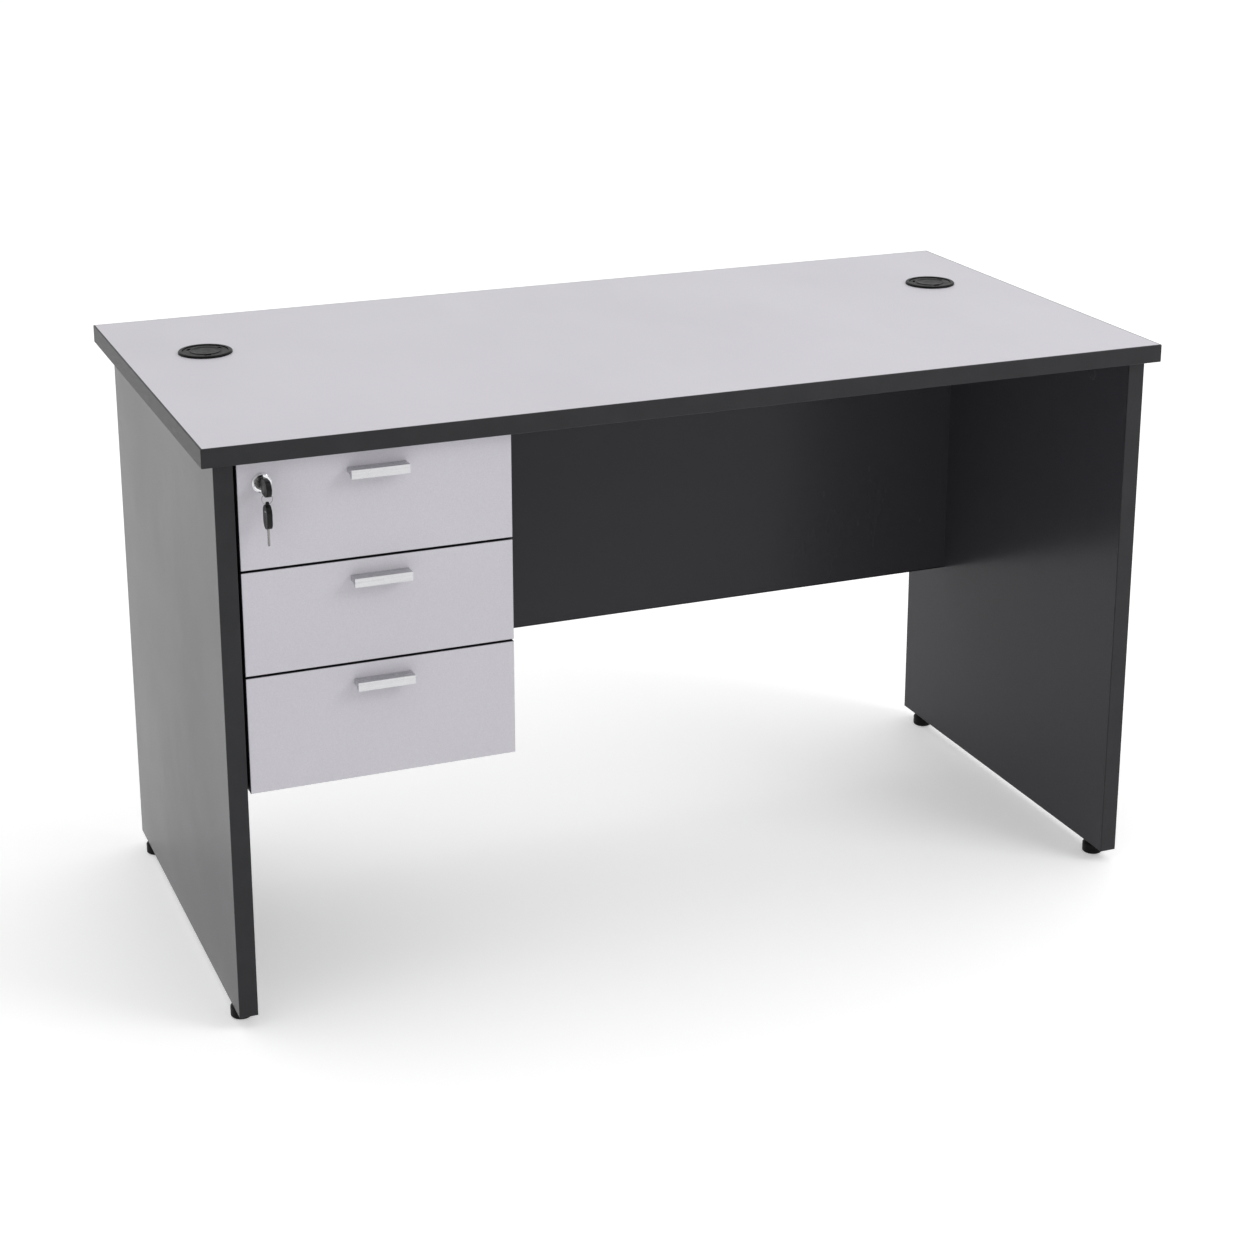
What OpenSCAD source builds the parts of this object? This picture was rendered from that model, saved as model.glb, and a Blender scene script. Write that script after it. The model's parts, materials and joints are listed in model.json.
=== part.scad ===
// Writing desk with a hanging three-drawer pedestal under its left end.
// X runs left to right as the user sits, Y from the user towards the back, Z up.
// The origin is on the floor, below the middle of the whole outline, keys included.

/* [Desk top] */
// Width of the desk top
desk_w = 1200; // [1000:10:1600]
// Depth of the desk top
desk_d = 600; // [560:10:800]
// Height of the desk top's upper face above the floor
desk_h = 700; // [680:5:760]
// How far the middle of the top lies behind the origin, which evens out the key's reach in front
mid_y = 9; // [5:1:13]
// Thickness of the top and of the side panels
board_t = 22; // [18:1:28]
// Thickness of the edge band round the boards
band_t = 2; // [1:0.5:3]
// Width of the fine joint where two lengths of edge band meet
band_joint = 0.05; // [0.05:0.05:0.2]

/* [Side and modesty panels] */
// How far the top reaches past each side panel
side_overhang = 15; // [5:1:30]
// How far the top reaches past the side panels at the front
front_overhang = 13; // [5:1:25]
// How far the top reaches past the side panels at the back
back_overhang = 47; // [10:1:80]
// Thickness of the modesty panel
modesty_t = 18; // [16:1:22]
// Distance from the middle of the top back to the modesty panel's front face
modesty_back = 150; // [140:5:200]
// Height of the modesty panel's lower edge above the floor
modesty_z = 269; // [200:1:400]

/* [Levelling feet] */
// Diameter of a foot's pad
foot_d = 26; // [22:1:34]
// Height of the gap that the feet leave under the side panels
foot_gap = 16; // [12:1:25]
// Distance from a side panel's front or back edge to the foot's axis
foot_inset = 37; // [30:1:60]

/* [Cable grommets] */
// Diameter of the grommet's sleeve
grommet_d = 60; // [50:1:70]
// Width of the flange round the sleeve
grommet_rim = 3; // [2:0.5:5]
// Height of the flange above the top
flange_t = 3; // [1.5:0.5:4]
// Distance from the middle of the top to a grommet's axis, sideways
grommet_x = 500; // [450:1:520]
// Distance from the middle of the top to a grommet's axis, backwards
grommet_back = 108; // [105:1:130]

/* [Pedestal] */
// Width of a drawer front
front_w = 313; // [280:1:360]
// Thickness of a drawer front
front_t = 18; // [16:1:19]
// Gap between a drawer front and what is beside it
front_gap = 3; // [2:0.5:4]
// Thickness of the pedestal's boards
carcass_t = 16; // [15:1:18]
// Depth of the pedestal behind the drawer fronts
carcass_d = 335; // [330:5:340]
// Heights of the drawer fronts, from the top one down
front_heights = [122, 120, 137];
// How far the fronts stand behind the side panels' front edges
front_setback = 2; // [0:0.5:5]

/* [Drawer boxes] */
// Thickness of the drawer box's boards
box_t = 12; // [10:1:15]
// Length of the drawer box
box_d = 300; // [280:5:305]
// Heights of the drawer boxes, from the top one down
box_heights = [60, 84, 94];
// Height of each box's lower edge above its front's lower edge, from the top one down
box_lifts = [12, 12, 26];
// Thickness of the drawer bottom
bottom_t = 4; // [3:0.5:6]

/* [Handles] */
// Length of a handle
handle_w = 67; // [60:1:96]
// How far a handle stands out
handle_out = 16; // [14:1:24]
// Height of a handle's front lip
handle_lip = 10.5; // [8:0.5:14]
// Distance from a front's top edge down to its handle
handle_drop = 17; // [12:1:30]
// Distance between a handle's two screws
handle_pitch = 48; // [32:1:50]

/* [Lock and keys] */
// Distance from the top front's left edge to the lock's axis
lock_in = 27; // [25:1:30]
// Distance from the top front's upper edge to the lock's axis
lock_drop = 24; // [22:1:25]
// Diameter of the lock's rosette
lock_flange_d = 22; // [21:1:24]
// Length of a key's oval bow
bow_l = 27; // [24:1:30]
// Width of a key's bow
bow_w = 18; // [16:1:20]
// Diameter of the middle of the key ring's wire
ring_d = 12; // [10:0.5:13]

/* [Hidden] */
$fn = 96;

// Colours
light = "#cbc9cf";
dark = "#3a3a3c";
black = "#1b1b1d";
steel = "#b9bcc0";
rolled_steel = "#c3c6ca";
white_board = "#dcdbd8";

// How far a cutting shape runs past what it cuts
past = 1;

// Edges of the desk top and of the side panels
top_z = desk_h - board_t;
top_y0 = mid_y - desk_d / 2;
top_y1 = mid_y + desk_d / 2;
panel_out_x = desk_w / 2 - side_overhang;
panel_in_x = panel_out_x - board_t;
panel_mid_x = panel_out_x - board_t / 2;
panel_front_y = top_y0 + front_overhang;
panel_back_y = top_y1 - back_overhang;
modesty_y = mid_y + modesty_back;
modesty_mid_y = modesty_y + modesty_t / 2;

// Wooden dowels: how far one goes into the top is dowel_up, the rest is in the panel
dowel_r = 4;
dowel_l = 30;
dowel_up = 12;
top_dowel_y = [mid_y - 150, mid_y + 100];
modesty_dowel_z = [modesty_z + 110, top_z - 110];

// Cam bolts and their cam discs
bolt_r = 3.5;
thread_r = 2.5;
thread_l = 12;
cam_r = 7.5;
cam_deep = 13;
cam_back = 34;
top_cam_y = [mid_y - 205, mid_y + 200];
modesty_cam_z = [modesty_z + 60, top_z - 60];

// Levelling feet: the pad, the stem and the sleeve that it screws into
feet_y = [panel_front_y + foot_inset, panel_back_y - foot_inset];
pad_h = foot_gap - 0.5;
pad_bevel = 1.5;
stem_r = 3.95;
stem_bore_r = 4;
insert_r = 6;
insert_l = 28;
insert_end = 2;
stem_top = foot_gap + insert_l - insert_end - 1;

// Cable grommets: the flanged sleeve, the ledge inside it and the cap on the ledge
grommet_y = mid_y + grommet_back;
sleeve_r = grommet_d / 2;
sleeve_wall = 2;
sleeve_z = top_z - 4;
flange_bevel = 1.2;
ledge_z = desk_h - 3;
ledge_t = 2;
cap_r = sleeve_r - sleeve_wall - 0.4;
cap_z = desk_h + flange_t - 1;
cap_lip_r = cap_r - sleeve_wall - 0.3;
cap_lip_h = 1.5;
slot_angles = [25, 145, 265];
slot_w = 3.4;
slot_l = 8;
slot_in = 4;

// Pedestal carcass
front_x0 = -panel_in_x + front_gap + 1;
front_x1 = front_x0 + front_w;
front_y = panel_front_y + front_setback;
front_back_y = front_y + front_t;
carcass_x0 = -panel_in_x;
carcass_x1 = front_x1;
carcass_y0 = front_back_y + 2;
carcass_y1 = carcass_y0 + carcass_d;
inner_x0 = carcass_x0 + carcass_t;
inner_x1 = carcass_x1 - carcass_t;
back_t = 6;

// Upper and lower edges of the drawer fronts, from the top one down
function front_top(i) = i == 0 ? top_z - front_gap : front_z(i - 1) - front_gap;
function front_z(i) = front_top(i) - front_heights[i];
carcass_z0 = front_z(2) + 1;

// Room above the lock's nut, in front of the pedestal's top board
lock_room = 5;

// The pedestal's screws: up into the desk top, and through its sides
screw_r = 2;
head_r = 4;
head_h = 2;
top_screw_bite = 14;
top_screw_x = [inner_x0 + 30, inner_x1 - 30];
top_screw_y = [carcass_y0 + 60, carcass_y1 - 60];
side_screw_l = 50;
side_screw_y = [carcass_y0 + 50, carcass_y1 - 50];
side_screw_z = [carcass_z0 + carcass_t / 2, top_z - carcass_t / 2];

// Drawer boxes
slide_w = 12.7;
box_x0 = inner_x0 + slide_w;
box_x1 = inner_x1 - slide_w;
function box_z(i) = front_z(i) + box_lifts[i];
groove_deep = 5;
groove_up = 8;

// Drawer slides: heights and lips of the three members, and their screws
slide_l = 298;
slide_y0 = carcass_y0 + 2;
slide_t = 1.2;
outer_h = 45;
outer_lip = 8.5;
middle_in = 4;
middle_h = 38;
middle_lip = 6.5;
inner_h = 28;
inner_lip = 6;
function slide_z(i) = box_z(i) + box_heights[i] / 2;
slide_screw_y = [slide_y0 + 35, slide_y0 + slide_l - 35];
slide_screw_l = 12;
slide_screw_r = 1.75;
slide_head_r = 3.5;
slide_head_h = 1.6;

// Handles: the bar's height behind the lip, the lip's thickness and the slope between them
handle_root = 6.5;
handle_lip_t = 3;
handle_slope = 4;
handle_mid_x = (front_x0 + front_x1) / 2;
screw_bite = 9;
head_sink = 3;

// Lock: the housing, the plug inside it, the nut behind the front and the cam at the end
lock_x = front_x0 + lock_in;
lock_z = front_top(0) - lock_drop;
lock_face_y = front_y - 2.5;
lock_end_y = front_back_y + 11;
lock_body_r = 9.5;
flange_step = 1;
plug_r = 6.95;
plug_bore_r = 7;
nut_r = 13.5;
nut_t = 4;
cam_y = lock_end_y + 0.5;
cam_t = 2;
cam_reach = 25;
cam_hub_r = 8;
cam_half_w = 6;
cam_screw_h = 2.5;

// The slot in the pedestal's side that the cam turns into, with its room all round
mortise_deep = 12;
mortise_room = 3;
mortise_up = 11;

// Keys: a flat oval bow moulded round the end of a notched blade
bow_t = 6;
bow_gap = 4;
bow_end_r = bow_w / 2;
bow_y1 = lock_face_y - bow_gap;
bow_y0 = bow_y1 - bow_l;
blade_t = 1.6;
blade_w = 6;
blade_root = 6;
blade_out = 20;
blade_point = 2.5;
notch_count = 4;

// The ring's holes: near the lower edge of the bow in the lock, and in the spare bow's eye
wire_r = 0.5;
ring_hole_r = 1.5;
ring_hole_y = (bow_y0 + bow_y1) / 2 - 2;
ring_hole_z = lock_z - bow_end_r + 2.6;
// The ring is curved, so its wire sits this far off the middle of each hole to pass through the bow
ring_play = 0.4;
ring_z = ring_hole_z + ring_play - ring_d / 2;
spare_hole_z = ring_z - ring_d / 2 + ring_play;
eye_r = 2.6;
eye_t = 3;
spare_z1 = spare_hole_z - 1;
spare_z0 = spare_z1 - bow_l;

// A box from its low corner to its high corner
module span(low, high) {
    translate(low) cube(high - low);
}

// A cylinder along X, from x0 to x1
module rod_x(x0, x1, y, z, r) {
    translate([x0, y, z]) rotate([0, 90, 0]) cylinder(h = x1 - x0, r = r);
}

// A cylinder along Y, from y0 to y1
module rod_y(x, y0, y1, z, r) {
    translate([x, y1, z]) rotate([90, 0, 0]) cylinder(h = y1 - y0, r = r);
}

// A cylinder along Z, from z0 to z1
module rod_z(x, y, z0, z1, r) {
    translate([x, y, z0]) cylinder(h = z1 - z0, r = r);
}

// The bolts that pull the side panels and the modesty panel tight, or the holes for them
module bolts(shank_r) {
    for (side = [-1, 1]) {
        for (y = top_cam_y) {
            rod_z(side * panel_mid_x, y, top_z, top_z + thread_l, thread_r);
            rod_z(side * panel_mid_x, y, top_z - cam_back, top_z, shank_r);
        }
        for (z = modesty_cam_z) {
            reach = side * panel_in_x;
            rod_x(min(reach, reach + side * thread_l), max(reach, reach + side * thread_l),
                modesty_mid_y, z, thread_r);
            rod_x(min(reach, reach - side * cam_back), max(reach, reach - side * cam_back),
                modesty_mid_y, z, shank_r);
        }
    }
}

// The dowels between the top, the side panels and the modesty panel
module dowels() {
    for (side = [-1, 1]) {
        for (y = top_dowel_y)
            rod_z(side * panel_mid_x, y, top_z + dowel_up - dowel_l, top_z + dowel_up, dowel_r);
        for (z = modesty_dowel_z)
            rod_x(side * panel_in_x - dowel_l / 2, side * panel_in_x + dowel_l / 2,
                modesty_mid_y, z, dowel_r);
    }
}

// The cam discs: in the side panels' inner faces and in the modesty panel's back
module cams() {
    for (side = [-1, 1]) {
        for (y = top_cam_y)
            rod_x(side > 0 ? panel_in_x : -panel_in_x - cam_deep,
                side > 0 ? panel_in_x + cam_deep : -panel_in_x, y, top_z - cam_back, cam_r);
        for (z = modesty_cam_z)
            rod_y(side * (panel_in_x - cam_back), modesty_y + modesty_t - cam_deep,
                modesty_y + modesty_t, z, cam_r);
    }
}

module grommet_places() {
    for (side = [-1, 1]) translate([side * grommet_x, grommet_y, 0]) children();
}

module desk_top_board() {
    color(light) difference() {
        span([-desk_w / 2 + band_t, top_y0 + band_t, top_z], [desk_w / 2 - band_t, top_y1 - band_t, desk_h]);
        grommet_places() rod_z(0, 0, top_z - past, desk_h + past, sleeve_r);
        bolts(bolt_r);
        dowels();
        for (x = top_screw_x, y = top_screw_y) rod_z(x, y, top_z - past, top_z + top_screw_bite, screw_r);
    }
}

// The top's edge bands: the side ones butt against the front and back ones
module desk_top_edging() {
    strip_y0 = top_y0 + band_t + band_joint;
    strip_y1 = top_y1 - band_t - band_joint;
    color(dark) {
        for (y = [top_y0, top_y1 - band_t])
            span([-desk_w / 2, y, top_z], [desk_w / 2, y + band_t, desk_h]);
        for (x = [-desk_w / 2, desk_w / 2 - band_t])
            span([x, strip_y0, top_z], [x + band_t, strip_y1, desk_h]);
    }
}

// A side panel without its edge band, on the left (-1) or the right (1)
module side_panel(side) {
    difference() {
        span([side * panel_mid_x - board_t / 2, panel_front_y + band_t, foot_gap + band_t],
            [side * panel_mid_x + board_t / 2, panel_back_y - band_t, top_z]);
        bolts(bolt_r);
        dowels();
        cams();
        for (y = feet_y) rod_z(side * panel_mid_x, y, foot_gap, foot_gap + insert_l, insert_r);
    }
}

module left_side_panel() { color(dark) side_panel(-1); }
module right_side_panel() { color(dark) side_panel(1); }

// The edge bands on both side panels' front, back and lower edges
module side_panel_edging() {
    y0 = panel_front_y + band_t;
    y1 = panel_back_y - band_t;
    color(dark) for (side = [-1, 1]) translate([side * panel_mid_x - board_t / 2, 0, 0]) {
        span([0, panel_front_y, foot_gap], [board_t, y0, top_z]);
        span([0, y1, foot_gap], [board_t, panel_back_y, top_z]);
        difference() {
            span([0, y0 + band_joint, foot_gap], [board_t, y1 - band_joint, foot_gap + band_t]);
            for (y = feet_y) rod_z(board_t / 2, y, foot_gap - past, foot_gap + insert_l, insert_r);
        }
    }
}

module modesty_panel() {
    color(dark) difference() {
        span([-panel_in_x, modesty_y, modesty_z + band_t],
            [panel_in_x, modesty_y + modesty_t, top_z]);
        bolts(bolt_r);
        dowels();
        cams();
    }
}

module modesty_edging() {
    color(dark) span([-panel_in_x, modesty_y, modesty_z],
        [panel_in_x, modesty_y + modesty_t, modesty_z + band_t]);
}

module wood_dowels() { color("#d8b98a") dowels(); }

module cam_bolts() {
    color(steel) difference() {
        bolts(bolt_r);
        cams();
    }
}

module cam_locks() { color("#8d9094") cams(); }

// A foot's threaded sleeve, in the lower edge of a side panel
module foot_inserts() {
    color(steel) for (side = [-1, 1], y = feet_y) difference() {
        rod_z(side * panel_mid_x, y, foot_gap, foot_gap + insert_l, insert_r);
        rod_z(side * panel_mid_x, y, foot_gap - past, foot_gap + insert_l - insert_end, stem_bore_r);
    }
}

// A levelling foot: a round pad on a stem
module foot(side, y) {
    pad_r = foot_d / 2;
    color(black) translate([side * panel_mid_x, y, 0]) rotate_extrude() polygon([
        [0, 0], [pad_r - pad_bevel, 0], [pad_r, pad_bevel], [pad_r, pad_h - 2 * pad_bevel],
        [pad_r - 2 * pad_bevel, pad_h], [stem_r, pad_h], [stem_r, stem_top], [0, stem_top]
    ]);
}

module foot_front_left() { foot(-1, feet_y[0]); }
module foot_front_right() { foot(1, feet_y[0]); }
module foot_back_left() { foot(-1, feet_y[1]); }
module foot_back_right() { foot(1, feet_y[1]); }

// A grommet's flanged sleeve, with a ledge inside for the cap
module grommet_liner(side) {
    bore_r = sleeve_r - sleeve_wall;
    flange_r = sleeve_r + grommet_rim;
    flange_z = desk_h + flange_t;
    color(black) translate([side * grommet_x, grommet_y, 0]) rotate_extrude() polygon([
        [bore_r, sleeve_z], [sleeve_r, sleeve_z], [sleeve_r, desk_h], [flange_r, desk_h],
        [flange_r, flange_z - flange_bevel], [flange_r - flange_bevel, flange_z], [bore_r, flange_z],
        [bore_r, ledge_z], [bore_r - sleeve_wall, ledge_z], [bore_r - sleeve_wall, ledge_z - ledge_t],
        [bore_r, ledge_z - 2 * ledge_t]
    ]);
}

module grommet_liner_left() { grommet_liner(-1); }
module grommet_liner_right() { grommet_liner(1); }

// A grommet's lift-out cap, hollow below, with three finger slots near its edge
module grommet_cap(side) {
    skin_t = 2;
    color("#303033") translate([side * grommet_x, grommet_y, 0]) difference() {
        union() {
            rod_z(0, 0, ledge_z, cap_z, cap_r);
            rod_z(0, 0, ledge_z - cap_lip_h, ledge_z, cap_lip_r);
        }
        rod_z(0, 0, ledge_z - cap_lip_h - past, cap_z - skin_t, cap_lip_r - sleeve_wall);
        for (angle = slot_angles) rotate(angle) translate([cap_r - slot_in - slot_w / 2, 0, cap_z])
            span([-slot_w / 2, -slot_l / 2, -skin_t - past], [slot_w / 2, slot_l / 2, past]);
    }
}

module grommet_cap_left() { grommet_cap(-1); }
module grommet_cap_right() { grommet_cap(1); }

// The screws that hold the pedestal together and up under the desk top, or their holes
module carcass_screws() {
    for (x = top_screw_x, y = top_screw_y) {
        rod_z(x, y, top_z - carcass_t, top_z + top_screw_bite, screw_r);
        rod_z(x, y, top_z - carcass_t, top_z - carcass_t + head_h, head_r);
    }
    for (y = side_screw_y, z = side_screw_z) {
        rod_x(carcass_x1 - side_screw_l, carcass_x1, y, z, screw_r);
        rod_x(carcass_x1 - head_h, carcass_x1, y, z, head_r);
        rod_x(carcass_x0, carcass_x0 + side_screw_l, y, z, screw_r);
        rod_x(carcass_x0, carcass_x0 + head_h, y, z, head_r);
    }
}

// The screws of the slides' outer members, or their holes
module slide_screws() {
    for (i = [0:2], y = slide_screw_y) {
        rod_x(inner_x0 - slide_screw_l, inner_x0 + slide_t, y, slide_z(i), slide_screw_r);
        rod_x(inner_x0 + slide_t, inner_x0 + slide_t + slide_head_h, y, slide_z(i), slide_head_r);
        rod_x(inner_x1 - slide_t, inner_x1 + slide_screw_l, y, slide_z(i), slide_screw_r);
        rod_x(inner_x1 - slide_t - slide_head_h, inner_x1 - slide_t, y, slide_z(i), slide_head_r);
    }
}

module pedestal_left_side() {
    color(dark) difference() {
        span([carcass_x0, carcass_y0, carcass_z0], [inner_x0, carcass_y1, top_z]);
        carcass_screws();
        slide_screws();
        span([inner_x0 - mortise_deep, cam_y - mortise_room, lock_z - cam_reach - mortise_room],
            [inner_x0 + past, cam_y + cam_t + mortise_room, lock_z + mortise_up]);
    }
}

module pedestal_right_side() {
    color(dark) difference() {
        span([inner_x1, carcass_y0, carcass_z0], [carcass_x1, carcass_y1, top_z]);
        carcass_screws();
        slide_screws();
    }
}

module pedestal_top() {
    color(dark) difference() {
        span([inner_x0, carcass_y0 + lock_room, top_z - carcass_t],
            [inner_x1, carcass_y1 - back_t, top_z]);
        carcass_screws();
    }
}

module pedestal_bottom() {
    color(dark) difference() {
        span([inner_x0, carcass_y0, carcass_z0], [inner_x1, carcass_y1 - back_t, carcass_z0 + carcass_t]);
        carcass_screws();
    }
}

module pedestal_back() {
    color(dark) span([inner_x0, carcass_y1 - back_t, carcass_z0], [inner_x1, carcass_y1, top_z]);
}

module pedestal_screws() { color(steel) carcass_screws(); }
module runner_screws() { color(steel) slide_screws(); }

// A channel along Y: its web at x0, its lips reaching towards +X
module channel(x0, z, height, lip) {
    span([x0, slide_y0, z - height / 2], [x0 + slide_t, slide_y0 + slide_l, z + height / 2]);
    for (side = [-1, 1])
        translate([x0, slide_y0, z + side * (height - slide_t) / 2 - slide_t / 2])
            cube([lip, slide_l, slide_t]);
}

// Both slides of a drawer: what is drawn on the left is mirrored to the right
module pair_of_slides() {
    children();
    translate([inner_x0 + inner_x1, 0, 0]) mirror([1, 0, 0]) children();
}

module runner_outer_members() {
    color(rolled_steel) difference() {
        for (i = [0:2]) pair_of_slides() channel(inner_x0, slide_z(i), outer_h, outer_lip);
        slide_screws();
    }
}

module runner_middles(i) {
    color("#aeb2b6") pair_of_slides() channel(inner_x0 + middle_in, slide_z(i), middle_h, middle_lip);
}

module runner_inners(i) {
    color(rolled_steel) pair_of_slides()
        translate([2 * box_x0, 0, 0]) mirror([1, 0, 0]) channel(box_x0, slide_z(i), inner_h, inner_lip);
}

// The screws of a drawer's handle, or the holes for them
module handle_fixings(i) {
    for (side = [-1, 1]) translate([handle_mid_x + side * handle_pitch / 2, 0,
            front_top(i) - handle_drop - handle_root / 2]) {
        rod_y(0, front_y - screw_bite, front_back_y, 0, screw_r);
        rod_y(0, front_back_y - head_sink, front_back_y - head_sink + head_h, 0, head_r);
    }
}

// The sunk mouths of those holes, in the back of a drawer front
module handle_screw_sinks(i) {
    for (side = [-1, 1])
        rod_y(handle_mid_x + side * handle_pitch / 2, front_back_y - head_sink, front_back_y + past,
            front_top(i) - handle_drop - handle_root / 2, head_r);
}

module drawer_front(i) {
    color(light) difference() {
        span([front_x0, front_y, front_z(i)], [front_x1, front_back_y, front_top(i)]);
        handle_fixings(i);
        handle_screw_sinks(i);
        span([box_x0 + box_t, front_back_y - groove_deep, box_z(i) + groove_up],
            [box_x1 - box_t, front_back_y + past, box_z(i) + groove_up + bottom_t]);
        if (i == 0) rod_y(lock_x, front_y - past, front_back_y + past, lock_z, lock_body_r);
    }
}

// The grooved side boards of a drawer box
module drawer_sides(i) {
    color(white_board) for (x = [box_x0, box_x1 - box_t]) difference() {
        span([x, front_back_y, box_z(i)], [x + box_t, front_back_y + box_d, box_z(i) + box_heights[i]]);
        drawer_floor(i);
    }
}

module drawer_back(i) {
    color(white_board) span([box_x0 + box_t, front_back_y + box_d - box_t, box_z(i) + groove_up + bottom_t],
        [box_x1 - box_t, front_back_y + box_d, box_z(i) + box_heights[i]]);
}

// The bottom slides into the grooves from behind, under the back board
module drawer_floor(i) {
    span([box_x0 + box_t - groove_deep, front_back_y, box_z(i) + groove_up],
        [box_x1 - box_t + groove_deep, front_back_y + box_d, box_z(i) + groove_up + bottom_t]);
}

module drawer_bottom(i) {
    color("#cfcdc8") {
        drawer_floor(i);
        span([box_x0 + box_t, front_back_y - groove_deep, box_z(i) + groove_up],
            [box_x1 - box_t, front_back_y, box_z(i) + groove_up + bottom_t]);
    }
}

// A lip pull: a flat bar whose front edge turns down, so that fingers reach behind the lip
module drawer_handle(i) {
    color("#d5d5d8") difference() {
        translate([handle_mid_x - handle_w / 2, front_y, front_top(i) - handle_drop])
            rotate([90, 0, 90]) linear_extrude(handle_w) polygon([
                [0, 0], [-handle_out, 0], [-handle_out, -handle_lip],
                [-handle_out + handle_lip_t, -handle_lip],
                [-handle_out + handle_lip_t + handle_slope, -handle_root], [0, -handle_root]
            ]);
        handle_fixings(i);
    }
}

module handle_screws(i) { color(steel) handle_fixings(i); }

module lock_housing() {
    flange_r = lock_flange_d / 2;
    color("#d9dadc") difference() {
        union() {
            rod_y(lock_x, front_y, lock_end_y, lock_z, lock_body_r);
            rod_y(lock_x, lock_face_y + flange_step, front_y, lock_z, flange_r);
            rod_y(lock_x, lock_face_y, lock_face_y + flange_step, lock_z, flange_r - flange_step);
        }
        rod_y(lock_x, lock_face_y - past, lock_end_y + past, lock_z, plug_bore_r);
    }
}

// The hexagonal nut behind the top front
module lock_nut() {
    color(steel) difference() {
        translate([lock_x, front_back_y + nut_t, lock_z]) rotate([90, 0, 0])
            cylinder(h = nut_t, r = nut_r, $fn = 6);
        rod_y(lock_x, front_back_y - past, front_back_y + nut_t + past, lock_z, lock_body_r);
    }
}

module lock_plug() {
    color("#c8c9cc") difference() {
        rod_y(lock_x, lock_face_y, cam_y, lock_z, plug_r);
        span([lock_x - blade_t / 2, lock_face_y - past, lock_z - blade_w / 2],
            [lock_x + blade_t / 2, bow_y1 + blade_out + past, lock_z + blade_w / 2]);
    }
}

// The cam: it hangs down when the drawer is free, and turns sideways into the pedestal's slot
module lock_cam() {
    color(steel) {
        rod_y(lock_x, cam_y, cam_y + cam_t, lock_z, cam_hub_r);
        span([lock_x - cam_half_w, cam_y, lock_z - cam_reach], [lock_x + cam_half_w, cam_y + cam_t, lock_z]);
        rod_y(lock_x, cam_y + cam_t, cam_y + cam_t + cam_screw_h, lock_z, head_r);
    }
}

// The outline of a key's blade along its length, with its notches on one edge
module blade_outline() {
    length = blade_root + blade_out;
    half_w = blade_w / 2;
    difference() {
        polygon([
            [0, -half_w], [length - blade_point, -half_w], [length, 0],
            [length - blade_point, half_w], [0, half_w]
        ]);
        for (n = [0:notch_count - 1]) translate([length - 5 - 3 * n, half_w + 0.4])
            rotate(45) square(1.6 + 0.5 * (n % 2), center = true);
    }
}

// The blade of the key in the lock
module lock_blade() {
    translate([lock_x - blade_t / 2, bow_y1 - blade_root, lock_z])
        rotate([90, 0, 90]) linear_extrude(blade_t) blade_outline();
}

// The blade of the spare key, which hangs from the ring
module spare_blade() {
    translate([lock_x - blade_t / 2, ring_hole_y, spare_z0 + blade_root])
        rotate([0, 90, 0]) linear_extrude(blade_t) blade_outline();
}

// A flat disc of a bow or its eye
module bow_disc(y, z, r, t = bow_t) {
    rod_x(lock_x - t / 2, lock_x + t / 2, y, z, r);
}

// The ring's hole through a bow
module ring_hole(z) {
    rod_x(lock_x - bow_t, lock_x + bow_t, ring_hole_y, z, ring_hole_r);
}

module key_bow() {
    color(black) difference() {
        union() {
            for (y = [bow_y0 + bow_end_r, bow_y1 - bow_end_r]) bow_disc(y, lock_z, bow_end_r);
            span([lock_x - bow_t / 2, bow_y0 + bow_end_r, lock_z - bow_end_r],
                [lock_x + bow_t / 2, bow_y1 - bow_end_r, lock_z + bow_end_r]);
        }
        ring_hole(ring_hole_z);
        lock_blade();
    }
}

module key_ring() {
    color("#c8c9cc") translate([lock_x, ring_hole_y, ring_z]) rotate([90, 0, 0])
        rotate_extrude() translate([ring_d / 2, 0]) circle(wire_r, $fn = 32);
}

module spare_key_bow() {
    color(black) difference() {
        union() {
            bow_disc(ring_hole_y, spare_hole_z, eye_r, eye_t);
            for (z = [spare_z0 + bow_end_r, spare_z1 - bow_end_r]) bow_disc(ring_hole_y, z, bow_end_r);
            span([lock_x - bow_t / 2, ring_hole_y - bow_end_r, spare_z0 + bow_end_r],
                [lock_x + bow_t / 2, ring_hole_y + bow_end_r, spare_z1 - bow_end_r]);
        }
        ring_hole(spare_hole_z);
        spare_blade();
    }
}

module key_blade() { color("#b8babd") lock_blade(); }
module spare_key_blade() { color("#b8babd") spare_blade(); }

module drawer_1_front() { drawer_front(0); }
module drawer_2_front() { drawer_front(1); }
module drawer_3_front() { drawer_front(2); }
module drawer_1_sides() { drawer_sides(0); }
module drawer_2_sides() { drawer_sides(1); }
module drawer_3_sides() { drawer_sides(2); }
module drawer_1_back() { drawer_back(0); }
module drawer_2_back() { drawer_back(1); }
module drawer_3_back() { drawer_back(2); }
module drawer_1_bottom() { drawer_bottom(0); }
module drawer_2_bottom() { drawer_bottom(1); }
module drawer_3_bottom() { drawer_bottom(2); }
module drawer_1_handle() { drawer_handle(0); }
module drawer_2_handle() { drawer_handle(1); }
module drawer_3_handle() { drawer_handle(2); }
module drawer_1_handle_screws() { handle_screws(0); }
module drawer_2_handle_screws() { handle_screws(1); }
module drawer_3_handle_screws() { handle_screws(2); }
module drawer_1_runner_middles() { runner_middles(0); }
module drawer_2_runner_middles() { runner_middles(1); }
module drawer_3_runner_middles() { runner_middles(2); }
module drawer_1_runner_inners() { runner_inners(0); }
module drawer_2_runner_inners() { runner_inners(1); }
module drawer_3_runner_inners() { runner_inners(2); }

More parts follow.
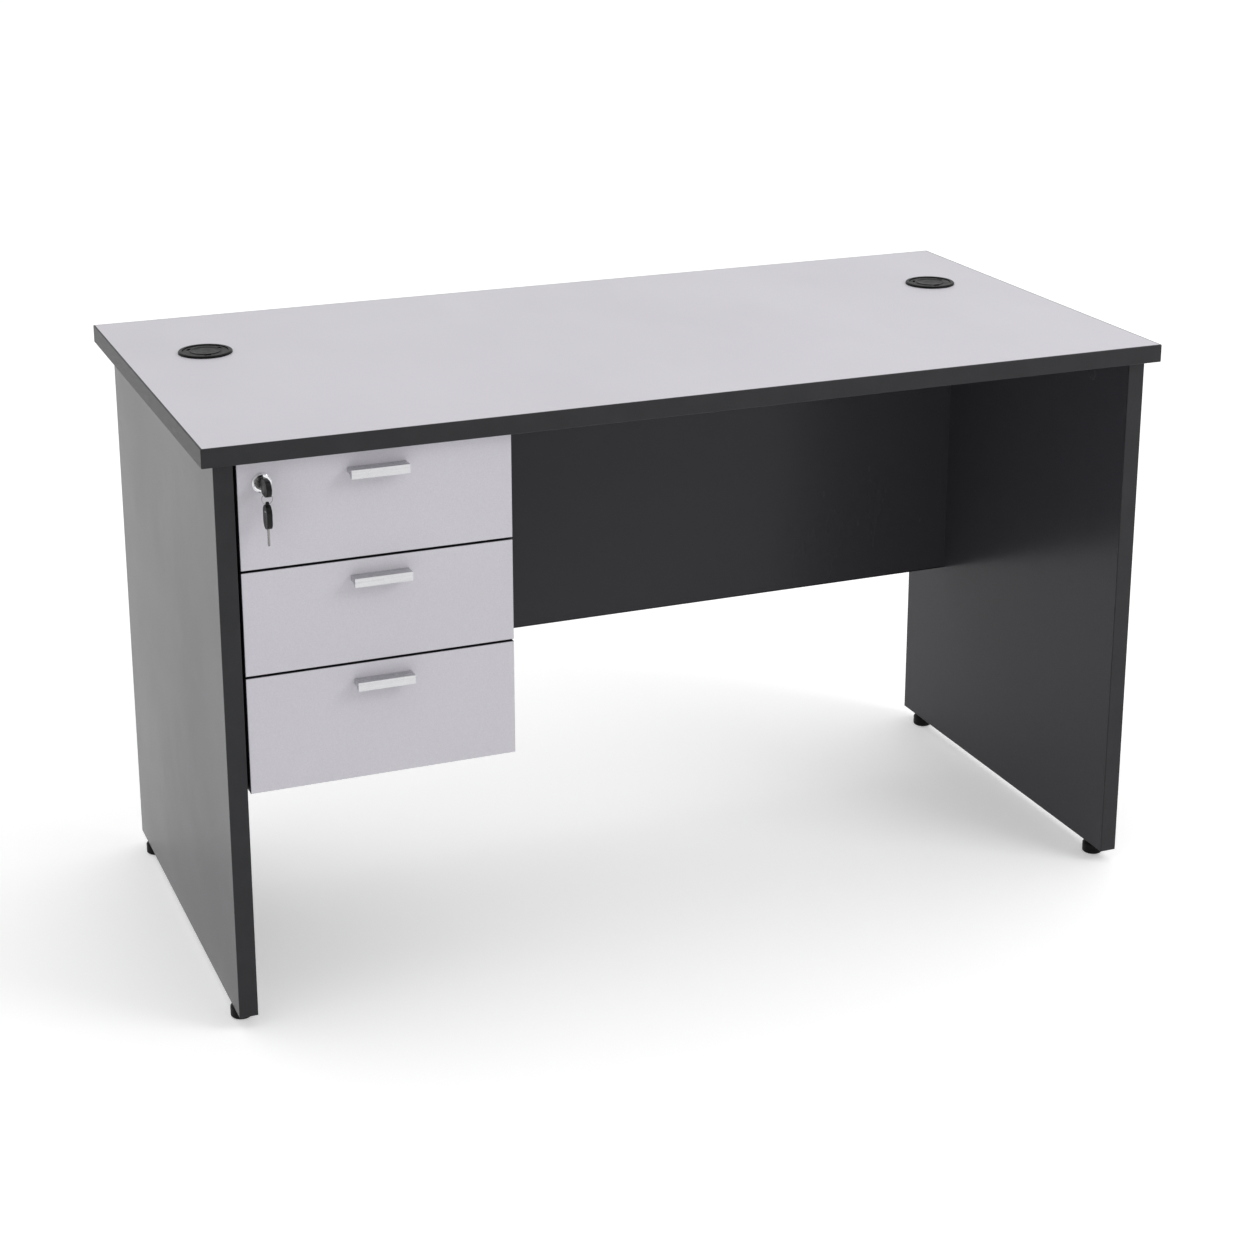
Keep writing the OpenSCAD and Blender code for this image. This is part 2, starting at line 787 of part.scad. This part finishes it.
desk_top_board();
desk_top_edging();
left_side_panel();
right_side_panel();
side_panel_edging();
modesty_panel();
modesty_edging();
wood_dowels();
cam_bolts();
cam_locks();
foot_inserts();
foot_front_left();
foot_front_right();
foot_back_left();
foot_back_right();
grommet_liner_left();
grommet_liner_right();
grommet_cap_left();
grommet_cap_right();
pedestal_left_side();
pedestal_right_side();
pedestal_top();
pedestal_bottom();
pedestal_back();
pedestal_screws();
runner_outer_members();
runner_screws();
drawer_1_front();
drawer_2_front();
drawer_3_front();
drawer_1_sides();
drawer_2_sides();
drawer_3_sides();
drawer_1_back();
drawer_2_back();
drawer_3_back();
drawer_1_bottom();
drawer_2_bottom();
drawer_3_bottom();
drawer_1_handle();
drawer_2_handle();
drawer_3_handle();
drawer_1_handle_screws();
drawer_2_handle_screws();
drawer_3_handle_screws();
drawer_1_runner_middles();
drawer_2_runner_middles();
drawer_3_runner_middles();
drawer_1_runner_inners();
drawer_2_runner_inners();
drawer_3_runner_inners();
lock_housing();
lock_nut();
lock_plug();
lock_cam();
key_bow();
key_ring();
spare_key_bow();
key_blade();
spare_key_blade();
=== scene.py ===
"""A writing desk with a hanging three-drawer pedestal, in a plain pale studio."""

import json
import math

import bmesh
import bpy
from mathutils import Matrix, Vector

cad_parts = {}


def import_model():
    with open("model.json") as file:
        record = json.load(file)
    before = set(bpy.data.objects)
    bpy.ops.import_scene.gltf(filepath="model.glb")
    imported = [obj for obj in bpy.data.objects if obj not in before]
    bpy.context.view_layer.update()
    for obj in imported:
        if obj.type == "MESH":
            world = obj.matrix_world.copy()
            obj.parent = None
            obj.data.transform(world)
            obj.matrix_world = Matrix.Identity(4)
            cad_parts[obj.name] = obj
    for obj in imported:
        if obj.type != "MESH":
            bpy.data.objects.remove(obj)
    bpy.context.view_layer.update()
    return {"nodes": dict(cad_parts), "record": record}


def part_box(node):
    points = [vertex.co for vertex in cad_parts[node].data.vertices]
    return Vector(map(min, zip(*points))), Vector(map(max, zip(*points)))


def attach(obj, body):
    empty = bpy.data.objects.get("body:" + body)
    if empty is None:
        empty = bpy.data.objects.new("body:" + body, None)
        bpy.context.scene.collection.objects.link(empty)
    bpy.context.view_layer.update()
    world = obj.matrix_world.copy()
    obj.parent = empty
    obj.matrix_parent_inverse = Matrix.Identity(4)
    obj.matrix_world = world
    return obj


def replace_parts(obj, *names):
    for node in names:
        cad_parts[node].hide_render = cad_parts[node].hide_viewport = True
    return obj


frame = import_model()
record = frame["record"]

MM = 0.001
SHARP = math.radians(30)     # two faces at more than this angle meet in an edge that shows
FLAT = math.radians(0.5)     # and at less than this they are one face
WELD = 0.001 * MM            # corners this close are one corner
NEAR = 0.01 * MM             # a corner this close to a plane lies in it


# Materials

# How noise is stretched: drawn out along one axis, as brushing is, or even.
ALONG_X, ALONG_Y = (0.02, 1, 1), (1, 0.02, 1)
EVEN = (1, 1, 1)


class Graph:
    """A material's node tree, with short calls for the nodes used here."""

    def __init__(self, name, roughness, metallic=0.0, specular=0.5):
        self.material = bpy.data.materials.new(name)
        self.material.use_nodes = True
        self.tree = self.material.node_tree
        self.shader = self.tree.nodes["Principled BSDF"]
        self.shader.inputs["Roughness"].default_value = roughness
        self.shader.inputs["Metallic"].default_value = metallic
        self.shader.inputs["Specular IOR Level"].default_value = specular
        self.coords = self.tree.nodes.new("ShaderNodeTexCoord").outputs["Object"]

    def link(self, source, target):
        self.tree.links.new(source, target)

    def place(self, scale):
        """The surface's coordinates, stretched by scale along each axis."""
        node = self.tree.nodes.new("ShaderNodeMapping")
        node.inputs["Scale"].default_value = scale
        self.link(self.coords, node.inputs["Vector"])
        return node.outputs["Vector"]

    def noise(self, scale, stretch=EVEN, detail=3.0, rough=0.6):
        """Noise of 0 to 1; scale is how many bumps there are to a metre."""
        node = self.tree.nodes.new("ShaderNodeTexNoise")
        node.inputs["Scale"].default_value = scale
        node.inputs["Detail"].default_value = detail
        node.inputs["Roughness"].default_value = rough
        self.link(self.place(stretch), node.inputs["Vector"])
        return node.outputs["Fac"]

    def cells(self, scale):
        """The distance to the nearest of random points; scale is how many there are to a metre."""
        node = self.tree.nodes.new("ShaderNodeTexVoronoi")
        node.inputs["Scale"].default_value = scale
        self.link(self.coords, node.inputs["Vector"])
        return node.outputs["Distance"]

    def spread(self, value, low, high, start=0.3, end=0.7):
        """The value's start to end, mapped onto low to high."""
        node = self.tree.nodes.new("ShaderNodeMapRange")
        for socket, number in (("From Min", start), ("From Max", end), ("To Min", low), ("To Max", high)):
            node.inputs[socket].default_value = number
        self.link(value, node.inputs["Value"])
        return node.outputs["Result"]

    def blend(self, factor, first, second):
        """first to second by factor; each is a colour or another node's output."""
        node = self.tree.nodes.new("ShaderNodeMix")
        node.data_type = "RGBA"
        self.link(factor, node.inputs["Factor"])
        for name, colour in (("A", first), ("B", second)):
            socket = next(s for s in node.inputs if s.name == name and s.type == "RGBA")
            if isinstance(colour, tuple):
                socket.default_value = (*colour, 1)
            else:
                self.link(colour, socket)
        return next(s for s in node.outputs if s.type == "RGBA")

    def sum(self, first, second, weight):
        """first plus second times weight."""
        node = self.tree.nodes.new("ShaderNodeMath")
        node.operation = "MULTIPLY_ADD"
        self.link(second, node.inputs[0])
        node.inputs[1].default_value = weight
        self.link(first, node.inputs[2])
        return node.outputs["Value"]

    def colour(self, output):
        self.link(output, self.shader.inputs["Base Color"])

    def roughness(self, output):
        self.link(output, self.shader.inputs["Roughness"])

    def bump(self, height, depth, strength):
        """Lets height, of 0 to 1, raise the surface by up to depth in metres."""
        node = self.tree.nodes.new("ShaderNodeBump")
        node.inputs["Strength"].default_value = strength
        node.inputs["Distance"].default_value = depth
        self.link(height, node.inputs["Height"])
        self.link(node.outputs["Normal"], self.shader.inputs["Normal"])


def shade(colour, factor):
    return tuple(channel * factor for channel in colour)


def laminate(name, colour, roughness, specular, speckle):
    """Melamine-faced board: a fine printed fleck under a slightly pebbled film, with faint smears."""
    g = Graph(name, roughness, specular=specular)
    fleck = g.noise(900, detail=2)
    cloud = g.noise(2.2, detail=4)
    mottled = g.blend(g.spread(cloud, 0, 1), shade(colour, 0.97), shade(colour, 1.03))
    g.colour(g.blend(g.spread(fleck, 0, speckle), mottled, shade(colour, 0.7)))
    smear = g.noise(5, (1, 0.35, 0.35), detail=5)
    g.roughness(g.spread(smear, roughness - 0.05, roughness + 0.06))
    g.bump(g.sum(g.noise(1400, detail=2), g.noise(60), 0.6), 0.06 * MM, 0.5)
    return g.material


def edge_band(name, colour):
    """Extruded plastic edge band: fine lines along it and a soft satin."""
    g = Graph(name, 0.42, specular=0.25)
    lines = g.noise(40, (1, 1, 60), detail=3)
    g.colour(g.blend(g.spread(g.noise(30), 0, 1), shade(colour, 0.9), shade(colour, 1.12)))
    g.roughness(g.spread(lines, 0.36, 0.5))
    g.bump(lines, 0.04 * MM, 0.5)
    return g.material


def metal(name, colour, roughness, stretch, depth=0.03 * MM, tarnish=0.9, scale=220):
    """A metal whose polishing or brushing runs along the axis with the small stretch."""
    g = Graph(name, roughness, metallic=1.0)
    brush = g.noise(scale, stretch, detail=6, rough=0.7)
    cloud = g.noise(90, detail=4)
    wear = g.sum(brush, cloud, 0.3)
    g.colour(g.blend(g.spread(wear, 0, 1, 0.45, 0.85), shade(colour, tarnish), colour))
    g.roughness(g.spread(wear, roughness - 0.06, roughness + 0.08, 0.4, 0.9))
    g.bump(brush, depth, 0.6)
    return g.material


def plastic(name, colour, roughness, specular, grain, depth):
    """Moulded plastic with a fine spark-eroded grain and slight handling polish."""
    g = Graph(name, roughness, specular=specular)
    pits = g.cells(grain)
    worn = g.noise(120, detail=4)
    g.colour(g.blend(g.spread(worn, 0, 1), shade(colour, 0.8), shade(colour, 1.5)))
    g.roughness(g.spread(worn, roughness - 0.08, roughness + 0.08))
    g.bump(pits, depth, 0.5)
    return g.material


def timber(name, colour, dark):
    """Turned beech: straight grain with short dark flecks."""
    g = Graph(name, 0.6)
    grain = g.noise(60, (1, 1, 0.05), detail=6)
    fleck = g.noise(500, (1, 1, 0.12))
    g.colour(g.blend(g.spread(fleck, 0, 0.6), g.blend(g.spread(grain, 0, 1), colour, dark), dark))
    g.bump(grain, 0.1 * MM, 0.4)
    return g.material


LIGHT = (0.552, 0.538, 0.58)
CHARCOAL = (0.041, 0.0398, 0.0455)
BAND = (0.0165, 0.0165, 0.0188)
BLACK = (0.004, 0.004, 0.0043)

finishes = {
    "light_laminate": laminate("light_laminate", LIGHT, 0.42, 0.4, 0.35),
    "dark_laminate": laminate("dark_laminate", CHARCOAL, 0.22, 0.12, 0.5),
    "dark_edge_band": edge_band("dark_edge_band", BAND),
    "beech": timber("beech", (0.55, 0.38, 0.21), (0.36, 0.22, 0.11)),
    "zinc_steel": metal("zinc_steel", (0.62, 0.63, 0.66), 0.32, EVEN, tarnish=0.8),
    "black_plastic": plastic("black_plastic", BLACK, 0.42, 0.1, 2600, 0.04 * MM),
    "runner_steel": metal("runner_steel", (0.6, 0.61, 0.63), 0.34, ALONG_Y, tarnish=0.85),
    "drawer_board": laminate("drawer_board", (0.6, 0.59, 0.57), 0.5, 0.4, 0.15),
    "drawer_hardboard": laminate("drawer_hardboard", (0.55, 0.535, 0.5), 0.55, 0.35, 0.3),
    "brushed_aluminium": metal("brushed_aluminium", (0.64, 0.64, 0.655), 0.28, ALONG_X,
                               depth=0.05 * MM, tarnish=0.8, scale=500),
    "chrome": metal("chrome", (0.72, 0.72, 0.74), 0.09, EVEN, depth=0.004 * MM, tarnish=0.96),
    "nickel": metal("nickel", (0.3, 0.295, 0.29), 0.24, EVEN, depth=0.02 * MM, tarnish=0.7),
    "key_plastic": plastic("key_plastic", BLACK, 0.36, 0.2, 3000, 0.03 * MM),
}
slot_of = {row["node"]: row["material_slot"] for row in record["subparts"]}
body_of = {node: body for body, nodes in record["behaviour"]["bodies"].items() for node in nodes}

# Each CAD node wears the finish of its own slot.
for node, part in frame["nodes"].items():
    if not part.material_slots:
        part.data.materials.append(None)
    for place in part.material_slots:
        place.link = "OBJECT"
        place.material = finishes[slot_of[node]]


# Pieces

def linked(name, data):
    """A new object, linked into the scene."""
    thing = bpy.data.objects.new(name, data)
    bpy.context.scene.collection.objects.link(thing)
    return thing


def new_piece(name, data, body, finish):
    """A new object that rides on a body and wears a finish."""
    piece = linked(name, data)
    data.materials.clear()
    data.materials.append(finishes[finish])
    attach(piece, body)
    return piece


def finished(name, work, body, finish):
    """Turns a bmesh into a smooth-shaded piece, with its sharp edges kept sharp."""
    for face in work.faces:
        face.smooth = True
    for edge in work.edges:
        edge.smooth = len(edge.link_faces) == 2 and edge.calc_face_angle() < SHARP
    mesh = bpy.data.meshes.new(name)
    work.to_mesh(mesh)
    work.free()
    return new_piece(name, mesh, body, finish)


def flat_shaded(piece):
    """Shades the piece's flat faces flat, right up to their rounded edges."""
    even = piece.modifiers.new("even", "WEIGHTED_NORMAL")
    even.keep_sharp = True
    even.weight = 100


def turned(name, profile, centre, axis, body, finish, steps=64):
    """A lathe-turned piece: radius and height in millimetres, spun round the axis through centre."""
    turn = Vector((0, 0, 1)).rotation_difference(Vector(axis)).to_matrix()
    work = bmesh.new()
    rings = []
    for radius, height in profile:
        ring = []
        for step in range(steps if radius else 1):
            angle = 2 * math.pi * step / steps
            across = radius * MM
            point = Vector((across * math.cos(angle), across * math.sin(angle), height * MM))
            ring.append(work.verts.new(Vector(centre) + turn @ point))
        rings.append(ring)
    for lower, upper in zip(rings, rings[1:]):
        for step in range(steps):
            corners = [ring[(step + ahead) % len(ring)] for ring, ahead in
                       ((lower, 0), (lower, 1), (upper, 1), (upper, 0))]
            work.faces.new(list(dict.fromkeys(corners)))
    bmesh.ops.recalc_face_normals(work, faces=work.faces)
    return finished(name, work, body, finish)


def wire(name, points, radius, body, finish):
    """A round wire along the points."""
    curve = bpy.data.curves.new(name, "CURVE")
    curve.dimensions = "3D"
    curve.bevel_depth = radius
    curve.bevel_resolution = 4
    curve.use_fill_caps = True
    spline = curve.splines.new("POLY")
    spline.points.add(len(points) - 1)
    for target, point in zip(spline.points, points):
        target.co = (*point, 1)
    spline.use_smooth = True
    return new_piece(name, curve, body, finish)


def node_mesh(node):
    """A bmesh of the CAD node, with its corners joined up."""
    work = bmesh.new()
    work.from_mesh(frame["nodes"][node].data)
    bmesh.ops.remove_doubles(work, verts=work.verts, dist=WELD)
    return work


def touches(edge, low, high):
    """How many faces of the box from low to high the edge lies in."""
    count = 0
    for axis in range(3):
        for limit in (low[axis], high[axis]):
            count += all(abs(vert.co[axis] - limit) < NEAR for vert in edge.verts)
    return count


def softened(node, width, boxes=None, before=None):
    """The node's shape with its sharp edges rounded: all, or only those on the outlines of boxes.

    before changes the bmesh first."""
    work = node_mesh(node)
    bmesh.ops.dissolve_limit(work, angle_limit=FLAT, verts=work.verts, edges=work.edges)
    if before:
        before(work)
    sharp = [
        edge for edge in work.edges
        if len(edge.link_faces) == 2 and edge.calc_face_angle() > SHARP
        and (boxes is None or any(touches(edge, *box) >= 2 for box in boxes))
    ]
    bmesh.ops.bevel(work, geom=sharp, offset=width, offset_type="OFFSET", segments=3,
                    profile=0.5, affect="EDGES", clamp_overlap=True)
    piece = finished(node + ".soft", work, body_of[node], slot_of[node])
    if "custom_normal" in piece.data.attributes:
        piece.data.attributes.remove(piece.data.attributes["custom_normal"])
    flat_shaded(piece)
    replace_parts(piece, node)
    return piece


def panel_boxes():
    """The outline of each side panel with its edge band."""
    low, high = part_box("side_panel_edging")
    panel_low, panel_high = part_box("left_side_panel")
    thick = panel_high[0] - panel_low[0]
    return [
        (low, Vector((low[0] + thick, high[1], high[2]))),
        (Vector((high[0] - thick, low[1], low[2])), high),
    ]


def connected(work):
    """The corner points of each separate solid in a bmesh, in the order of its corners."""
    seen = set()
    solids = []
    for start in work.verts:
        if start in seen:
            continue
        seen.add(start)
        heap = [start]
        points = []
        while heap:
            vert = heap.pop()
            points.append(vert.co.copy())
            for edge in vert.link_edges:
                other = edge.other_vert(vert)
                if other not in seen:
                    seen.add(other)
                    heap.append(other)
        solids.append(points)
    return solids


def round_solids(node):
    """Each round solid of a node: the middle of its wide end, the way that end faces, its radius."""
    work = node_mesh(node)
    found = []
    for points in connected(work):
        low = Vector([min(point[axis] for point in points) for axis in range(3)])
        high = Vector([max(point[axis] for point in points) for axis in range(3)])
        size = high - low
        along = max(range(3), key=lambda axis: abs(2 * size[axis] - size[axis - 1] - size[axis - 2]))
        across = (along + 1) % 3
        centre = (low + high) / 2
        radius = size[across] / 2
        wide = [point[along] for point in points if (point - centre)[across] > radius - NEAR]
        forward = sum(wide) / len(wide) > centre[along]
        tip = centre.copy()
        tip[along] = high[along] if forward else low[along]
        direction = Vector((0, 0, 0))
        direction[along] = 1 if forward else -1
        found.append((tip, direction, radius))
    work.free()
    return found


def cross_recess(node, width, depth):
    """The node's screws, softened, with a cross recess sunk into each head."""
    span = 1.3
    piece = softened(node, 0.25 * MM)
    cutter = bmesh.new()
    for tip, direction, radius in round_solids(node):
        turn = Vector((0, 0, 1)).rotation_difference(direction).to_matrix().to_4x4()
        size = Matrix.Diagonal((span * radius, width, 2 * depth, 1))
        for angle in (45, 135):
            spin = Matrix.Rotation(math.radians(angle), 4, "Z")
            bmesh.ops.create_cube(cutter, size=1, matrix=Matrix.Translation(tip) @ turn @ spin @ size)
    mesh = bpy.data.meshes.new(node + ".cutter")
    cutter.to_mesh(mesh)
    cutter.free()
    tool = linked(node + ".cutter", mesh)
    cut = piece.modifiers.new("recess", "BOOLEAN")
    cut.operation = "DIFFERENCE"
    cut.solver = "EXACT"
    cut.use_self = True
    cut.object = tool
    shape = bpy.data.meshes.new_from_object(piece.evaluated_get(bpy.context.evaluated_depsgraph_get()))
    piece.modifiers.clear()
    piece.data = shape
    flat_shaded(piece)
    bpy.data.objects.remove(tool)
    bpy.data.meshes.remove(mesh)


def panelled(node, width, rim, sink):
    """A key's bow, softened, with a shallow panel moulded into each side."""
    least = 20 * MM * MM

    def panel(work):
        flat = [face for face in work.faces if abs(face.normal.x) > 0.99 and face.calc_area() > least]
        for side in (-1, 1):
            faces = [face for face in flat if face.is_valid and face.normal.x * side > 0]
            bmesh.ops.inset_region(work, faces=faces, thickness=rim, depth=-sink, use_even_offset=True)

    softened(node, width, before=panel)


def gap_shade_strips(node):
    """Thin dark strips on a drawer front's four edges, from its rounded outline to its back: painted
    shade, standing for the shadow in the gaps between the fronts.
    """
    outline, thick = 0.8 * MM, 0.3 * MM
    low, high = (Vector(corner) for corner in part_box(node))
    low.y += outline
    size = high - low
    centre = (low + high) / 2
    work = bmesh.new()
    for axis in (0, 2):
        for side in (-1, 1):
            place = centre.copy()
            place[axis] += side * size[axis] / 2
            extent = size.copy()
            extent[axis] = thick
            matrix = Matrix.Translation(place) @ Matrix.Diagonal((*extent, 1))
            bmesh.ops.create_cube(work, size=1, matrix=matrix)
    # The strips wear the dark edge band as painted shade in the gaps between the fronts.
    finished(node + ".gap_shade", work, body_of[node], "dark_edge_band")


def middle(node):
    low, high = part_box(node)
    return (Vector(low) + Vector(high)) / 2


def cap_dish(side):
    """The grommet cap's turned middle: a low ring round a shallow dish."""
    node = f"grommet_cap_{side}"
    centre = middle(node)
    centre.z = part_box(node)[1][2]
    profile = [(0, 0.1), (12, 0.15), (17.2, 0.35), (17.8, 0.7), (18.6, 0.7), (19.2, 0.35), (19.6, -0.2)]
    turned(f"grommet_cap_dish_{side}", profile, centre, (0, 0, 1), body_of[node], "black_plastic")


def cam_covers():
    """Thin domed covers over the cam discs, in the side panels and in the modesty panel's back."""
    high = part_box("modesty_panel")[1]
    profile = [(0, 0.9), (4, 0.85), (7.4, 0.6), (8.2, 0.35), (8.5, 0)]
    for number, (tip, direction, _) in enumerate(round_solids("cam_locks"), start=1):
        if direction.y:
            face = Vector((tip.x, high[1], tip.z))
            outward = (0, 1, 0)
        else:
            side = 1 if tip.x > 0 else -1
            face = Vector((side * high[0], tip.y, tip.z))
            outward = (-side, 0, 0)
        turned(f"cam_cover_{number}", profile, face, outward, "desk", "dark_laminate", steps=48)


def split_ring():
    """The key ring as it is wound: two turns of wire side by side."""
    turns, steps = 2, 128
    low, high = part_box("key_ring")
    centre = middle("key_ring")
    gauge = (high[1] - low[1]) / 4
    radius = (high[0] - low[0]) / 2 - 2 * gauge
    points = []
    for step in range(steps + 1):
        angle = turns * 2 * math.pi * step / steps + math.radians(60)
        side = gauge * (2 * step / steps - 1)
        points.append(centre + Vector((radius * math.cos(angle), side, radius * math.sin(angle))))
    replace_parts(wire("key_split_ring", points, gauge, "key_ring", "nickel"), "key_ring")


def bow_rivets():
    """The ends of the pin that holds the spare key's blade in its bow."""
    drop, sunk = 11 * MM, 0.2 * MM
    low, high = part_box("spare_key_bow")
    centre = middle("spare_key_bow")
    centre.z = high[2] - drop
    profile = [(0, 0.5), (0.6, 0.42), (1.0, 0.15), (1.1, -0.4)]
    for name, x, side in (("left", low[0], -1), ("right", high[0], 1)):
        place = Vector((x - side * sunk, centre.y, centre.z))
        turned(f"spare_key_rivet_{name}", profile, place, (side, 0, 0), "spare_key", "zinc_steel",
               steps=24)


softened("desk_top_edging", 1.0 * MM, [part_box("desk_top_edging")])
softened("side_panel_edging", 1.0 * MM, panel_boxes())
softened("modesty_edging", 0.8 * MM, [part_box("modesty_edging")])
for number in (1, 2, 3):
    softened(f"drawer_{number}_front", 0.7 * MM, [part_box(f"drawer_{number}_front")])
    softened(f"drawer_{number}_handle", 0.45 * MM)
    cross_recess(f"drawer_{number}_handle_screws", 0.9 * MM, 1.2 * MM)
# Dark strips on each front's edges: painted shade for the shadowed gaps between the fronts.
for number in (1, 2, 3):
    gap_shade_strips(f"drawer_{number}_front")
for node, width in (("lock_housing", 0.5 * MM), ("lock_plug", 0.25 * MM), ("key_bow", 0.8 * MM)):
    softened(node, width)
panelled("spare_key_bow", 0.8 * MM, 1.4 * MM, 0.35 * MM)
for node in ("pedestal_screws", "runner_screws"):
    cross_recess(node, 0.9 * MM, 1.0 * MM)
for side in ("left", "right"):
    softened(f"grommet_cap_{side}", 0.35 * MM)
    softened(f"grommet_liner_{side}", 0.6 * MM)
    for end in ("front", "back"):
        softened(f"foot_{end}_{side}", 0.4 * MM)
for side in ("left", "right"):
    cap_dish(side)
cam_covers()
split_ring()
bow_rivets()


# Studio

def floor():
    """A wide pale floor."""
    half = 30
    mesh = bpy.data.meshes.new("floor")
    mesh.from_pydata([(-half, -half, 0), (half, -half, 0), (half, half, 0), (-half, half, 0)], [],
                     [(0, 1, 2, 3)])
    g = Graph("floor", 0.6, specular=0.2)
    g.colour(g.blend(g.noise(3), (0.89, 0.89, 0.89), (0.91, 0.91, 0.91)))
    g.shader.inputs["Emission Color"].default_value = (1, 1, 1, 1)
    g.shader.inputs["Emission Strength"].default_value = 0.27
    mesh.materials.append(g.material)
    ground = linked("floor", mesh)


def softbox(name, place, aim, size, power):
    """A square area light at place, facing aim, with its size in metres and its power in watts."""
    lamp = bpy.data.lights.new(name, "AREA")
    lamp.shape = "SQUARE"
    lamp.size = size
    lamp.energy = power
    holder = linked(name, lamp)
    holder.location = place
    holder.rotation_euler = (Vector(aim) - Vector(place)).to_track_quat("-Z", "Y").to_euler()


def world():
    """A white studio, a little dimmer on the user's side of the desk and beside it.

    Y of a direction, less a share of its distance from the middle in X, is mapped onto the strength."""
    share = 0.45
    dim_at, full_at = -0.9, 0.1
    dim, full = 0.62, 1.0
    sky = bpy.data.worlds.new("studio")
    sky.use_nodes = True
    tree = sky.node_tree
    direction = tree.nodes.new("ShaderNodeTexCoord").outputs["Generated"]
    split = tree.nodes.new("ShaderNodeSeparateXYZ")
    tree.links.new(direction, split.inputs["Vector"])
    aside = tree.nodes.new("ShaderNodeMath")
    aside.operation = "ABSOLUTE"
    tree.links.new(split.outputs["X"], aside.inputs[0])
    behind = tree.nodes.new("ShaderNodeMath")
    behind.operation = "MULTIPLY_ADD"
    tree.links.new(aside.outputs["Value"], behind.inputs[0])
    behind.inputs[1].default_value = -share
    tree.links.new(split.outputs["Y"], behind.inputs[2])
    level = tree.nodes.new("ShaderNodeMapRange")
    for socket, number in (("From Min", dim_at), ("From Max", full_at),
                           ("To Min", dim), ("To Max", full)):
        level.inputs[socket].default_value = number
    tree.links.new(behind.outputs["Value"], level.inputs["Value"])
    backdrop = tree.nodes["Background"]
    backdrop.inputs["Color"].default_value = (1, 1, 1, 1)
    tree.links.new(level.outputs["Result"], backdrop.inputs["Strength"])
    bpy.context.scene.world = sky


def camera():
    """At the photograph's viewing angle, looking down and to the right, with a small shift."""
    down, right = math.radians(16.59), math.radians(22.22)
    lens = bpy.data.cameras.new("camera")
    lens.sensor_width = 36
    lens.lens = 71.86
    lens.shift_y = -0.1411
    lens.clip_start, lens.clip_end = 0.05, 200
    holder = linked("camera", lens)
    holder.location = (-1.142, -2.812, 1.456)
    holder.rotation_euler = (math.radians(90) - down, 0, -right)
    bpy.context.scene.camera = holder


camera()
floor()
world()
softbox("key", (2.3, -2.3, 2.6), (0, 0, 0.5), 1.6, 40)
softbox("overhead", (0.1, 0, 3.2), (0.1, 0, 0.7), 3.0, 10)
bpy.context.scene.view_settings.view_transform = "Standard"
